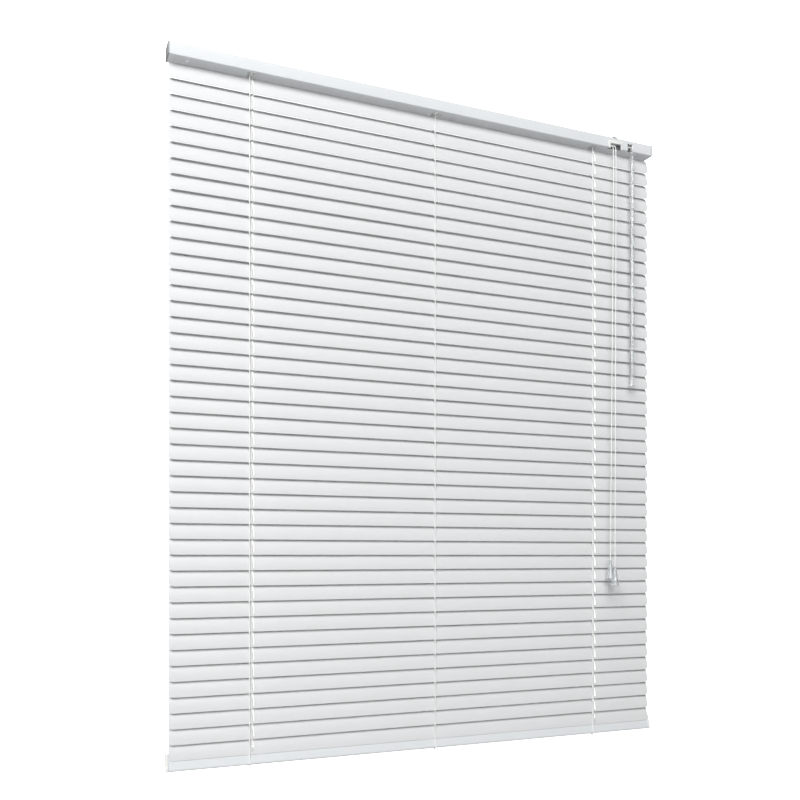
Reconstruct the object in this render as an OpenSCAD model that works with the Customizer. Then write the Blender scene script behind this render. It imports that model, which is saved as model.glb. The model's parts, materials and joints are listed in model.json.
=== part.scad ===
// Venetian blind with slim aluminium slats, shown closed with the room edge of every slat down.
// X runs to the right along the headrail, Y goes into the wall, Z is up.
// The origin is midway between the two fixing holes, on the outer face of the headrail's base.

/* [Blind] */
// Length of the headrail and of every slat
blind_w = 800; // [620:1:1400]
// How many slats hang below the headrail
slat_count = 44; // [8:1:44]
// Distance from one slat's axis to the next
slat_pitch = 21.7; // [21:0.1:23]
// Tilt of the slats when closed, in degrees
closed_tilt = 75; // [66:1:75]
// Headrail's underside down to the first slat's axis
first_drop = 15; // [14.6:0.1:22]

/* [Headrail] */
// Depth of the channel, from its room face to its wall face
head_d = 25; // [25:0.5:32]
// Height of the channel
head_h = 17; // [17:0.5:25]
// Sheet thickness of the channel
head_wall = 0.6; // [0.5:0.1:1.2]
// Width of the lip turned in along each top edge
head_lip = 2.5; // [1.5:0.1:4]
// Diameter of a fixing hole
fixing_hole_d = 5; // [4:0.1:6]
// Distance of a fixing hole from the end of the channel
fixing_inset = 26; // [20:1:30]
// Thickness of an end cap's outer plate
head_cap_t = 1.5; // [1:0.1:3]

/* [Slats] */
// Width of a slat's strip
slat_w = 25; // [24:0.1:25.6]
// Sheet thickness of a slat
slat_t = 0.3; // [0.2:0.05:0.5]
// Rise of a slat's curve at its middle
slat_crown = 2; // [1:0.1:2.4]
// Radius of a slat's corners
slat_corner = 6; // [2:0.5:10]
// Length of the slot that a lift cord passes through
slot_l = 18; // [16:0.1:18.5]
// Width of that slot
slot_w = 2.4; // [2.2:0.1:5]

/* [Ladders and cords] */
// Half the width of a ladder
ladder_half = 15.5; // [15.3:0.1:16]
// Distance of the outer ladders from the ends
ladder_inset = 112; // [90:1:150]
// Diameter of a ladder string
string_d = 1.2; // [0.8:0.1:1.2]
// Diameter of a lift cord
cord_d = 1.4; // [1:0.1:1.5]
// Distance of a lift cord from its ladder, along the headrail
cord_offset = 5; // [4.5:0.1:6]

/* [Tilt gear] */
// Tilt rod, across its flats
rod_af = 4; // [3:0.1:4.2]
// Radius that the ladder strings wind on
drum_r = 5; // [4:0.1:5.2]
// Width of the wound part of a drum
drum_w = 4.4; // [3:0.1:4.6]
// Teeth of the worm wheel
wheel_teeth = 12; // [10:1:14]
// Pitch radius of the worm wheel
wheel_pitch_r = 4; // [3.8:0.05:4.2]
// Pitch radius of the worm
worm_pitch_r = 2.2; // [2:0.05:2.4]
// Lean of the worm shaft from upright, in degrees
worm_lean = 35; // [32:1:38]

/* [Controls] */
// Distance of the tilter from the right end
tilter_inset = 42.4; // [40:0.1:50]
// Distance of the cord lock from the right end
lock_inset = 72.5; // [70:0.1:90]
// Width of the cord lock's opening
lock_open_w = 24; // [22:0.5:26]
// Height of the cord lock's opening in the room face
lock_open_h = 7.5; // [6:0.1:8]
// Width of the tilter's opening
tilter_open_w = 11.4; // [11.3:0.1:13]
// Length of the wand from its hook to its tip
wand_l = 390; // [200:5:600]
// Wand, across its corners
wand_d = 7; // [5:0.1:8]
// Largest diameter of a cord tassel
tassel_d = 13; // [10:0.5:13.5]
// Height of a cord tassel
tassel_h = 30; // [20:1:36]

/* [Bottom rail] */
// Width of the bottom rail's tube
foot_w = 24; // [20:0.1:25]
// Thickness of the bottom rail's tube
foot_t = 6.2; // [6.2:0.1:6.4]
// Wall of that tube
foot_wall = 0.8; // [0.5:0.1:1.2]
// Last slat's axis down to the face of the bottom rail, along Z when closed
foot_drop = 2.72; // [2.4:0.01:12]
// Thickness of an end cap's outer plate
foot_cap_t = 3.5; // [2:0.1:5]

/* [Hidden] */
$fn = 48;

// Names
function slat_name(i) = str("slat_", i < 10 ? "0" : "", i);

// Clearances
slip = 0.1; // between pieces that slide into each other
turn = 0.05; // round a shaft that turns in its bearing, on the radius

// Places along the headrail
ladder_x = blind_w / 2 - ladder_inset;
ladder_xs = [-ladder_x, 0, ladder_x];
cord_xs = [-ladder_x + cord_offset, ladder_x + cord_offset];
lock_x = blind_w / 2 - lock_inset;
tilter_x = blind_w / 2 - tilter_inset;
fixing_x = blind_w / 2 - fixing_inset;

// Heights
rod_z = head_h / 2;
function slat_z(i) = -first_drop - (i - 1) * slat_pitch;
foot_z = slat_z(slat_count) - foot_drop - foot_t / 2 / cos(closed_tilt);

// Where a ladder meets a slat when the blind is closed
grip_y = ladder_half * cos(closed_tilt);
grip_z = ladder_half * sin(closed_tilt);

// How far above its fixing an upright cord of diameter d ends, clear of the tilted bottom rail
function over_foot(d) = foot_t / 2 / cos(closed_tilt) + d / 2 * tan(closed_tilt) + 0.4;

// Rod and drums
rod_corner_r = rod_af / sqrt(3);
rod_bore_r = rod_corner_r + 0.15;
rod_left = -ladder_x - 12;
rod_right = tilter_x + 8.4;
drum_flange_r = drum_r + 1.2;
drum_flange_t = 0.8;

// Cradle, from its ladder: the bar that a lift cord bends over, and the two bearing walls
cradle_t = 1.5;
cradle_half_d = 9.5;
cradle_wall_t = 1.4;
cradle_wall_d = 11;
cradle_wall_top = rod_z + 5.5;
cradle_left = -drum_w / 2 - drum_flange_t - 3.2;
bar_r = 2.2;
bar_x = cord_offset + bar_r + cord_d / 2 + slip;
bar_z = head_wall + 0.9;
cradle_right = bar_x + bar_r + 0.6;
cord_window = [6.8, 5.4];
string_gap = 3.2; // from the ladder to the left edge of its hole
string_hole_d = 13.6;

// Worm and wheel, in the plane of the wheel: along the worm is t, away from the wheel is n
gear_pitch = 2 * PI * wheel_pitch_r / wheel_teeth;
gear_centres = wheel_pitch_r + worm_pitch_r;
wheel_face = 2.4;
wheel_tip_r = wheel_pitch_r + 0.55;
wheel_root_r = wheel_pitch_r - 0.65;
worm_tip_r = worm_pitch_r + 0.5;
worm_core_r = worm_pitch_r - 0.75;
worm_half = 3.1;
worm_shaft_r = 1.3;
worm_journal_r = 1;
link_r = 2.4; // middle radius of the two linked eyes
link_wire_r = 0.6;
link_gap = 0.75; // from the link's centre to the middle of either wire
link_t = 20.8; // along the worm shaft
worm_start = [-gear_centres * cos(worm_lean), rod_z + gear_centres * sin(worm_lean)];
link_y = worm_start[0] - link_t * sin(worm_lean);
link_z = worm_start[1] - link_t * cos(worm_lean);

// Routes of the two pull ends, from the top of the vertical run to the tassel
left_route = [
    [-283, 0, 0], [-283, 0, 1.5], [-282.2, 0, 3.4], [-280, 0, 4.4], [-277, 0, 4.4],
    [-270, -1, 4.4], [-262, -4, 4.4], [-252, -7, 4.4], [-240, -8, 4.4], [0, -8, 4.4],
    [300, -8, 4.4], [311, -8, 4.4], [315, -8.2, 4.6], [318, -9.2, 4.7], [320, -10.9, 4],
    [320.9, -12.8, 2.4], [321, -14.3, 0], [321, -15.1, -3], [321, -15.4, -8],
    [321, -16, -60], [318.1, -17.3, -260], [315.1, -18.6, -460], [311.8, -20, -687]
];
right_route = [
    [293, 0, 0], [293, 0, 1.5], [293.8, 0, 3.4], [296, 0, 4.4], [299, -0.4, 4.4],
    [303, -1.8, 4.4], [308, -4.2, 4.4], [312, -5.7, 4.4], [316, -6, 4.4], [320, -6, 4.5],
    [323, -7, 4.7], [325, -9, 4.8], [325.9, -11, 4.1], [326, -12.8, 2.4],
    [326, -14.3, 0], [326, -15.1, -3], [326, -15.4, -8],
    [326, -16, -60], [321.4, -21.5, -260], [316.7, -26.9, -460], [311.2, -33.4, -698]
];
// A tassel hangs straight down from here
tassel_tops = [left_route[len(left_route) - 1], right_route[len(right_route) - 1]];

// Colours
white_paint = [0.93, 0.94, 0.95];
white_plastic = [0.95, 0.95, 0.94];
grey_plastic = [0.62, 0.63, 0.64];
cord_white = [0.97, 0.97, 0.96];
zinc = [0.72, 0.73, 0.75];
clear = [0.85, 0.88, 0.9, 0.5];

// Turns an outline in Y and Z into a bar along X, centred on X
module along_x(length) {
    rotate([90, 0, 90]) linear_extrude(height = length, center = true) children();
}

// Rectangle with rounded corners, centred
module round_rect(w, d, r) {
    square([w - 2 * r, d], center = true);
    square([w, d - 2 * r], center = true);
    for (x = [-1, 1], y = [-1, 1]) translate([x * (w / 2 - r), y * (d / 2 - r)]) circle(r);
}

// Box from its low corner to its high corner
module span(low, high) {
    translate(low) cube(high - low);
}

// A tube along a route of points, as one closed skin of eight-sided rings
module tube(route, d) {
    sides = 8;
    last = len(route) - 1;
    function heading(i) =
        let (v = route[min(i + 1, last)] - route[max(i - 1, 0)]) v / norm(v);
    function side(t) = let (s = cross(t, [0, 1, 0])) s / norm(s);
    points = [
        for (i = [0:last])
            let (t = heading(i), a = side(t), b = cross(t, a))
            for (k = [0:sides - 1])
                let (q = 360 * k / sides) route[i] + d / 2 * (cos(q) * a + sin(q) * b)
    ];
    skin = [
        for (i = [0:last - 1], k = [0:sides - 1])
            let (m = (k + 1) % sides)
            [i * sides + k, (i + 1) * sides + k, (i + 1) * sides + m, i * sides + m]
    ];
    ends = [
        [for (k = [0:sides - 1]) k],
        [for (k = [sides - 1:-1:0]) last * sides + k]
    ];
    polyhedron(points = points, faces = concat(skin, ends), convexity = 10);
}

// ---- Headrail ----

// Channel open at the top, with the holes that the gear and the cords need
module headrail() {
    half = head_d / 2;
    color(white_paint) difference() {
        along_x(blind_w) translate([0, head_h / 2]) difference() {
            square([head_d, head_h], center = true);
            translate([0, head_wall]) square([head_d - 2 * head_wall, head_h], center = true);
        }
        for (x = [-fixing_x, fixing_x])
            translate([x, 0, -1]) cylinder(d = fixing_hole_d, h = head_wall + 2);
        for (x = ladder_xs)
            span([x - string_gap - 0.4, -string_hole_d / 2 - 0.4, -1],
                 [x + cradle_right - 0.4, string_hole_d / 2 + 0.4, head_wall + 1]);
        span([lock_x - lock_open_w / 2, -half - 1, -1],
             [lock_x + lock_open_w / 2, -half + head_wall + 1, lock_open_h]);
        span([lock_x - lock_open_w / 2, -half - 1, -1],
             [lock_x + lock_open_w / 2, -half + 7, head_wall + 1]);
        span([tilter_x - tilter_open_w / 2, -half - 1, -1],
             [tilter_x + tilter_open_w / 2, -half + head_wall + 1, 12]);
        span([tilter_x - tilter_open_w / 2, -half - 1, -1],
             [tilter_x + tilter_open_w / 2, -half + 4, head_wall + 1]);
    }
    color(white_paint) for (s = [-1, 1])
        translate([0, s * (half - head_lip / 2), head_h - head_wall / 2])
            cube([blind_w, head_lip, head_wall], center = true);
}

// A plate over each end of the channel, with a plug that fits inside it
module headrail_end_caps() {
    plug_l = 8;
    plug_d = head_d - 2 * head_wall - 2 * slip;
    plug_h = head_h - 2 * head_wall - 2 * slip;
    color(grey_plastic) for (s = [-1, 1]) scale([s, 1, 1]) translate([blind_w / 2, 0, head_h / 2]) {
        translate([head_cap_t / 2, 0, 0]) along_x(head_cap_t) round_rect(head_d + 0.6, head_h + 0.6, 0.8);
        translate([-plug_l / 2, 0, 0]) along_x(plug_l) difference() {
            square([plug_d, plug_h], center = true);
            square([plug_d - 2.4, plug_h - 2.4], center = true);
        }
    }
}

// Under each drum: a plate on the headrail's base, two bearing walls for the rod,
// and a round bar that a lift cord bends over
module drum_cradles() {
    color(white_plastic) for (x = ladder_xs) translate([x, 0, 0]) {
        difference() {
            span([cradle_left, -cradle_half_d, head_wall],
                 [cradle_right + cradle_wall_t, cradle_half_d, head_wall + cradle_t]);
            span([-string_gap, -string_hole_d / 2, -1],
                 [cradle_right - 0.8, string_hole_d / 2, 4]);
        }
        for (w = [cradle_left, cradle_right]) difference() {
            span([w, -cradle_wall_d / 2, head_wall + cradle_t],
                 [w + cradle_wall_t, cradle_wall_d / 2, cradle_wall_top]);
            translate([w - 1, 0, rod_z]) rotate([0, 90, 0]) cylinder(r = rod_bore_r, h = 4);
            span([w - 1, -cord_window[0] / 2, -1],
                 [w + cradle_wall_t + 1, cord_window[0] / 2, cord_window[1]]);
        }
        translate([bar_x, 0, bar_z]) rotate([90, 0, 0])
            cylinder(r = bar_r, h = string_hole_d + 0.8, center = true);
    }
}

// Housing behind the opening, a bezel round it, and the roller that jams the cords
module cord_lock() {
    half = head_d / 2;
    w = lock_open_w - 2 * slip;
    back = -rod_corner_r - 1.4;
    room = half - head_wall - 0.3;
    bezel_t = 1.4;
    roller_r = 2;
    color(white_plastic) translate([lock_x, 0, 0]) {
        difference() {
            span([-w / 2, -room, head_wall + slip], [w / 2, back, head_h - 2]);
            span([-w / 2 + 1.6, -half, -1], [w / 2 - 1.6, back - 1.6, head_h - 4.6]);
            span([-w / 2 - 1, -room + 1.4, 2.6], [-w / 2 + 4, back - 0.4, 7]);
        }
        difference() {
            translate([0, -half - bezel_t / 2, lock_open_h / 2 + 1.2]) rotate([90, 0, 0])
                linear_extrude(height = bezel_t, center = true)
                    round_rect(lock_open_w + 4, lock_open_h + 5.6, 2);
            span([-w / 2 + 1.4, -half - 3, -4], [w / 2 - 1.4, -half + 1, lock_open_h - 0.6]);
        }
        for (s = [-1, 1]) scale([s, 1, 1])
            span([w / 2 - 1.4, -half, head_wall + slip], [w / 2, -room, lock_open_h - slip]);
    }
    color(zinc) translate([lock_x, -room + 3.6, lock_open_h + 1.4]) rotate([0, 90, 0])
        cylinder(r = roller_r, h = w - 3.6, center = true);
}

// ---- Tilt gear ----

// Places its children on the worm shaft: Z runs down along the shaft from beside the wheel
module on_worm(t) {
    translate([tilter_x, worm_start[0], worm_start[1]])
        rotate([180 - worm_lean, 0, 0]) translate([0, 0, t]) children();
}

// Two side plates that carry the rod, a floor, and two bearings for the worm shaft
module tilter_housing() {
    plate_t = 1;
    inner = 4.6;
    bearing_d = 3.6;
    color(white_plastic) {
        for (s = [-1, 1]) difference() {
            span([tilter_x + s * (inner + plate_t / 2) - plate_t / 2, -head_d / 2 + head_wall + 0.6, head_wall],
                 [tilter_x + s * (inner + plate_t / 2) + plate_t / 2, 6, head_h - 1.4]);
            translate([tilter_x, 0, rod_z]) rotate([0, 90, 0])
                cylinder(r = rod_bore_r, h = 3 * inner, center = true);
        }
        span([tilter_x - inner, -6, head_wall], [tilter_x + inner, 6, head_wall + 1]);
        on_worm(6.4) difference() {
            cube([2 * inner, bearing_d, 1.8], center = true);
            cylinder(r = worm_shaft_r + turn, h = 4, center = true);
        }
        on_worm(-worm_half - 0.9) difference() {
            cube([2 * inner, bearing_d, 1.4], center = true);
            cylinder(r = worm_journal_r + turn, h = 4, center = true);
        }
    }
}

// Hexagonal rod through all the drums and the worm wheel
module tilt_rod() {
    color(zinc) translate([rod_left, 0, rod_z]) rotate([0, 90, 0])
        cylinder(r = rod_corner_r, h = rod_right - rod_left, $fn = 6);
}

// Hole that a piece slides onto the rod with
module rod_hole(length) {
    rotate([0, 90, 0]) cylinder(r = rod_corner_r + turn, h = length, center = true, $fn = 6);
}

// A flanged drum over each ladder
module tilt_drums() {
    color(white_plastic) for (x = ladder_xs) translate([x, 0, rod_z]) difference() {
        union() {
            rotate([0, 90, 0]) cylinder(r = drum_r, h = drum_w, center = true);
            for (s = [-1, 1]) translate([s * (drum_w + drum_flange_t) / 2, 0, 0])
                rotate([0, 90, 0]) cylinder(r = drum_flange_r, h = drum_flange_t, center = true);
        }
        rod_hole(3 * drum_w);
    }
}

// Toothed wheel on the rod, with one gap between teeth facing the worm
module worm_wheel() {
    step = 360 / wheel_teeth;
    root = 0.3 * step;
    tip = 0.12 * step;
    outline = [
        for (k = [0:wheel_teeth - 1])
            let (mid = 180 - worm_lean + (k + 0.5) * step)
            each [
                for (p = [[-root, wheel_root_r], [-tip, wheel_tip_r], [tip, wheel_tip_r], [root, wheel_root_r]])
                    p[1] * [cos(mid + p[0]), sin(mid + p[0])]
            ]
    ];
    color(zinc) translate([tilter_x, 0, rod_z]) difference() {
        union() {
            along_x(wheel_face) polygon(outline);
            along_x(6.4) circle(wheel_root_r - 0.1);
        }
        rod_hole(12);
    }
}

// Worm, its shaft and the eye that the wand hooks into
module worm_shaft() {
    steps = 24; // points in a turn
    turns = 2 * (worm_half - 0.5) / gear_pitch;
    count = round(turns * steps);
    root_half = 0.42;
    tip_half = 0.16;
    // the thread crosses the wheel's plane at whole pitches from beside the wheel's axis
    function thread_ring(i) =
        let (z = (i / count - 0.5) * turns * gear_pitch, q = 360 * z / gear_pitch - 90)
        [
            for (p = [[worm_core_r - 0.2, -root_half], [worm_tip_r, -tip_half],
                      [worm_tip_r, tip_half], [worm_core_r - 0.2, root_half]])
                [p[0] * cos(q), p[0] * sin(q), z + p[1]]
        ];
    points = [for (i = [0:count]) each thread_ring(i)];
    skin = [
        for (i = [0:count - 1], k = [0:3])
            let (m = (k + 1) % 4)
            [4 * i + k, 4 * i + m, 4 * i + 4 + m, 4 * i + 4 + k]
    ];
    eye_t = link_t + link_gap - link_r;
    color(zinc) {
        on_worm(0) polyhedron(points = points, convexity = 10,
            faces = concat(skin, [[3, 2, 1, 0], [for (k = [0:3]) 4 * count + k]]));
        on_worm(-worm_half) cylinder(r = worm_core_r, h = 2 * worm_half + 0.1);
        on_worm(-worm_half - 1.6) cylinder(r = worm_journal_r, h = 1.7);
        on_worm(worm_half) cylinder(r = worm_shaft_r, h = eye_t - link_r - worm_half);
        on_worm(eye_t) rotate([90, 0, 0]) rotate_extrude() translate([link_r, 0]) circle(link_wire_r);
    }
}

// Clear six-sided wand with its own eye at the top and a wider grip at the tip
module tilt_wand() {
    top = link_z + link_gap;
    neck_top = top - 2 * link_r;
    neck_h = 7;
    rod_top = neck_top - neck_h;
    grip_h = 11;
    tip = top - wand_l;
    color(clear) translate([tilter_x, link_y, 0]) {
        translate([0, 0, top - link_r]) rotate([90, 0, 90])
            rotate_extrude() translate([link_r, 0]) circle(link_wire_r);
        translate([0, 0, rod_top]) cylinder(r = 1.9, h = neck_h);
        translate([0, 0, tip + grip_h]) cylinder(r = wand_d / 2, h = rod_top - tip - grip_h + 2, $fn = 6);
        translate([0, 0, tip]) cylinder(r = wand_d / 2 + 0.9, h = grip_h);
    }
}

// ---- Cords ----

// Each lift cord: straight up through the slats, over its cradle's bar, along the headrail,
// out through the cord lock and down to its tassel
module lift_cords() {
    low = foot_z + over_foot(cord_d);
    color(cord_white) {
        for (x = cord_xs) translate([x, 0, low]) cylinder(d = cord_d, h = -low, $fn = 16);
        tube(left_route, cord_d);
        tube(right_route, cord_d);
    }
}

// Bell-shaped pulls that the cords end in, hollow below
module cord_tassels() {
    r = tassel_d / 2;
    wall = 1.3;
    color(clear) for (p = tassel_tops) translate([p[0], p[1], p[2] - tassel_h])
        rotate_extrude() polygon([
            [0, tassel_h], [0.27 * r, tassel_h], [0.4 * r, 0.86 * tassel_h], [0.66 * r, 0.52 * tassel_h],
            [0.9 * r, 0.14 * tassel_h], [r, 0], [r - wall, 0], [0.9 * r - wall, 0.14 * tassel_h],
            [0.66 * r - wall, 0.5 * tassel_h], [0, 0.62 * tassel_h]
        ]);
}

// The strings of one side of every ladder, from the first slat to the bottom rail; side is -1 or 1
module ladder_strings(side) {
    top = slat_z(1) + side * grip_z;
    low = foot_z + side * grip_z + over_foot(string_d);
    color(cord_white) for (x = ladder_xs)
        translate([x, side * grip_y, low]) cylinder(d = string_d, h = top - low, $fn = 16);
}

module ladder_front_cords() {
    ladder_strings(-1);
}

module ladder_back_cords() {
    ladder_strings(1);
}

// ---- Bottom rail ----

// Puts its children on the bottom rail's axis, tilted like the slats
module on_foot() {
    translate([0, 0, foot_z]) rotate([closed_tilt, 0, 0]) children();
}

// Closed tube with rounded edges
module bottom_rail() {
    r = 3;
    color(white_paint) on_foot() along_x(blind_w) difference() {
        round_rect(foot_w, foot_t, r);
        round_rect(foot_w - 2 * foot_wall, foot_t - 2 * foot_wall, r - foot_wall);
    }
}

// A plate over each end of the tube, with a plug that fits inside it
module bottom_rail_end_caps() {
    plug_l = 9;
    gap = foot_wall + slip;
    color(grey_plastic) on_foot() for (s = [-1, 1]) scale([s, 1, 1]) translate([blind_w / 2, 0, 0]) {
        translate([foot_cap_t / 2, 0, 0]) along_x(foot_cap_t) round_rect(foot_w + 0.8, foot_t + 0.8, 3.4);
        translate([-plug_l / 2, 0, 0]) along_x(plug_l)
            round_rect(foot_w - 2 * gap, foot_t - 2 * gap, 3 - gap);
    }
}

// ---- Slats ----

// Crowned strip with round corners and a slot for each lift cord, tilted shut
module slat(i) {
    parts = 10; // flats across the curve
    half = slat_w / 2;
    function rise(y) = slat_crown * (1 - pow(y / half, 2));
    top = [for (k = [0:parts]) let (y = -half + k * slat_w / parts) [y, rise(y)]];
    under = [for (k = [parts:-1:0]) top[k] - [0, slat_t]];
    color(white_paint) translate([0, 0, slat_z(i)]) rotate([closed_tilt, 0, 0]) difference() {
        intersection() {
            along_x(blind_w) polygon(concat(top, under));
            translate([0, 0, -1]) linear_extrude(height = slat_crown + 2)
                round_rect(blind_w, slat_w, slat_corner);
        }
        for (x = cord_xs) translate([x, 0, -1]) linear_extrude(height = slat_crown + 2) {
            square([slot_w, slot_l - slot_w], center = true);
            for (s = [-1, 1]) translate([0, s * (slot_l - slot_w) / 2]) circle(slot_w / 2);
        }
    }
}

headrail();
headrail_end_caps();
drum_cradles();
cord_lock();
tilter_housing();
tilt_rod();
tilt_drums();
worm_wheel();
worm_shaft();
tilt_wand();
lift_cords();
cord_tassels();
ladder_front_cords();
ladder_back_cords();
bottom_rail();
bottom_rail_end_caps();
for (i = [1:slat_count]) slat(i);
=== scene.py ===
"""Venetian blind with aluminium slats, built round its fixed frame of bodies and joints.

Lengths are in millimetres where a piece is drawn and become metres when its mesh is made.
X runs to the right along the headrail, Y goes into the wall, Z is up.
"""
import json
import math

import bmesh
import bpy
from bpy.props import FloatProperty, FloatVectorProperty, IntProperty, PointerProperty
from bpy.types import Operator, Panel, PropertyGroup
from mathutils import Matrix, Vector


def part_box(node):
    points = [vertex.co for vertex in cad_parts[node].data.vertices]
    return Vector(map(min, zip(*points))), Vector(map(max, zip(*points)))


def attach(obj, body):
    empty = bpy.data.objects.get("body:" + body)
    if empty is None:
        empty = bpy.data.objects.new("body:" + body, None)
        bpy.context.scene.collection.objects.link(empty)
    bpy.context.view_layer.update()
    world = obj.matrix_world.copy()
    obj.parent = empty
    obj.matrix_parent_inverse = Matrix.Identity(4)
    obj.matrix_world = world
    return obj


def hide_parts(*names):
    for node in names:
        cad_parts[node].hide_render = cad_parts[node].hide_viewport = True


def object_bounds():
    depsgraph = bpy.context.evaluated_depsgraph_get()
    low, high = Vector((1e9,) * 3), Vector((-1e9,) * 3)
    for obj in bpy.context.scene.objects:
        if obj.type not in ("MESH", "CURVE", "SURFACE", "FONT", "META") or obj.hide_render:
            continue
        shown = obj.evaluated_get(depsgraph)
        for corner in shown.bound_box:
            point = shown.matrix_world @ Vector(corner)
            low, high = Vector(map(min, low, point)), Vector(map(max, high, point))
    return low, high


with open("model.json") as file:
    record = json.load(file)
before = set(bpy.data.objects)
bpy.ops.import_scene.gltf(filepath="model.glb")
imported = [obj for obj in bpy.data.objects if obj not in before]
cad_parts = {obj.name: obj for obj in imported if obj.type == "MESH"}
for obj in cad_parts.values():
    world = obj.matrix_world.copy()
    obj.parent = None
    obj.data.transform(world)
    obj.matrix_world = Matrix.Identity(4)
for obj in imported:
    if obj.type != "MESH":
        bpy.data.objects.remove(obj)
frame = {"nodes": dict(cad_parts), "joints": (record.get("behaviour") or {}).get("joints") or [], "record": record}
CAD_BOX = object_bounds()

bl_info = {
    "name": "Venetian blind",
    "version": (1, 0, 0),
    "blender": (4, 5, 0),
    "location": "View3D > Sidebar > Blind",
    "description": "Builds a closed venetian blind with its slats, ladders, cords and tilt gear",
    "category": "Object",
}

MM = 0.001
JOINTS = {joint["name"]: joint for joint in frame["joints"]}
SLATS = sorted(name for name in frame["nodes"] if name.startswith("slat_"))


def box_mm(node):
    """Low and high corner of a node, in millimetres."""
    low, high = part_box(node)
    return Vector(low) / MM, Vector(high) / MM


def joint_mm(name):
    """A point on a joint's axis, in millimetres."""
    return Vector(JOINTS[name]["pos_m"]) / MM


# Sizes that follow from the frame
HEAD_LOW, HEAD_HIGH = box_mm("headrail")
HEAD_W = HEAD_HIGH.x - HEAD_LOW.x
HEAD_D = HEAD_HIGH.y - HEAD_LOW.y
HEAD_H = HEAD_HIGH.z - HEAD_LOW.z
ROD_Z = joint_mm("rod_turn").z
TILTER_X = joint_mm("worm_turn").x
WAND_Y = joint_mm("wand_turn").y
FOOT_Z = joint_mm("rail_tilt").z
FIRST_Z = joint_mm(f"{SLATS[0]}_tilt").z
LADDER_FRONT = joint_mm("ladder_front_swing")
LADDER_DROP = FIRST_Z - LADDER_FRONT.z
LADDER_HALF = math.hypot(LADDER_FRONT.y, LADDER_DROP)
CLOSED = math.atan2(LADDER_DROP, -LADDER_FRONT.y)
STRINGS_LOW, STRINGS_HIGH = box_mm("ladder_front_cords")
STRING_R = 0.6
LADDER_X = (STRINGS_HIGH.x - STRINGS_LOW.x) / 2 - STRING_R
LADDERS = (-LADDER_X, 0.0, LADDER_X)
# How far a string runs on above its first fixing, so that at its highest it ends beside the drum
ABOVE_ROD = 2.5
LEAD_REACH = ROD_Z + ABOVE_ROD - (FIRST_Z + LADDER_DROP)
LOCK_X = sum(corner.x for corner in box_mm("cord_lock")) / 2
WAND_LOW, WAND_HIGH = box_mm("tilt_wand")

# Routes of the two pull ends, listed point by point, from the top of the vertical run to the tassel
LEFT_ROUTE = [
    (-283, 0, 0), (-283, 0, 1.5), (-282.2, 0, 3.4), (-280, 0, 4.4), (-277, 0, 4.4),
    (-270, -1, 4.4), (-262, -4, 4.4), (-252, -7, 4.4), (-240, -8, 4.4), (0, -8, 4.4),
    (300, -8, 4.4), (311, -8, 4.4), (315, -8.2, 4.6), (318, -9.2, 4.7), (320, -10.9, 4),
    (320.9, -12.8, 2.4), (321, -14.3, 0), (321, -15.1, -3), (321, -15.4, -8),
    (321, -16, -60), (318.1, -17.3, -260), (315.1, -18.6, -460), (311.8, -20, -687),
]
RIGHT_ROUTE = [
    (293, 0, 0), (293, 0, 1.5), (293.8, 0, 3.4), (296, 0, 4.4), (299, -0.4, 4.4),
    (303, -1.8, 4.4), (308, -4.2, 4.4), (312, -5.7, 4.4), (316, -6, 4.4), (320, -6, 4.5),
    (323, -7, 4.7), (325, -9, 4.8), (325.9, -11, 4.1), (326, -12.8, 2.4),
    (326, -14.3, 0), (326, -15.1, -3), (326, -15.4, -8),
    (326, -16, -60), (321.4, -21.5, -260), (316.7, -26.9, -460), (311.2, -33.4, -698),
]
# Where each route leaves the cord lock and hangs free
LEFT_EXIT, RIGHT_EXIT = 16, 14


# ---- Settings ----


def length(name, text, value, low, high):
    """A length in millimetres that a user may change."""
    return FloatProperty(name=name, description=text, default=value, min=low, max=high)


class BlindSizes(PropertyGroup):
    """Sizes of the pieces that are drawn here, in millimetres."""

    slat_width: length("Slat width", "Width of a slat's strip", 25.0, 20.0, 26.0)
    slat_gauge: length("Slat thickness", "Sheet thickness of a slat", 0.3, 0.1, 0.6)
    slat_crown: length("Slat crown", "Rise of a slat's curve at its middle", 2.0, 0.5, 3.0)
    slat_corner: length("Slat corner", "Radius of a slat's corners", 6.0, 1.0, 10.0)
    slot_length: length("Slot length", "Length of the slot for a lift cord", 18.0, 14.0, 18.5)
    slot_width: length("Slot width", "Width of the slot for a lift cord", 2.4, 2.0, 6.0)
    cord: length("Lift cord", "Diameter of a lift cord", 1.4, 1.0, 2.0)
    string: length("Ladder string", "Diameter of a ladder string", 1.15, 0.8, 1.2)
    rung: length("Rung", "Diameter of a ladder's cross string", 0.55, 0.3, 0.8)
    sheet: length("Headrail sheet", "Sheet thickness of the headrail", 0.6, 0.4, 1.0)
    lip: length("Headrail lip", "Width of the headrail's turned-in lip", 2.5, 1.0, 4.0)
    foot_width: length("Bottom rail width", "Width of the bottom rail", 24.0, 18.0, 25.0)
    foot_depth: length("Bottom rail thickness", "Thickness of the bottom rail", 6.2, 5.0, 8.0)
    sides: IntProperty(name="Cord sides", description="Sides of a cord's tube", default=10, min=6, max=24)


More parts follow.
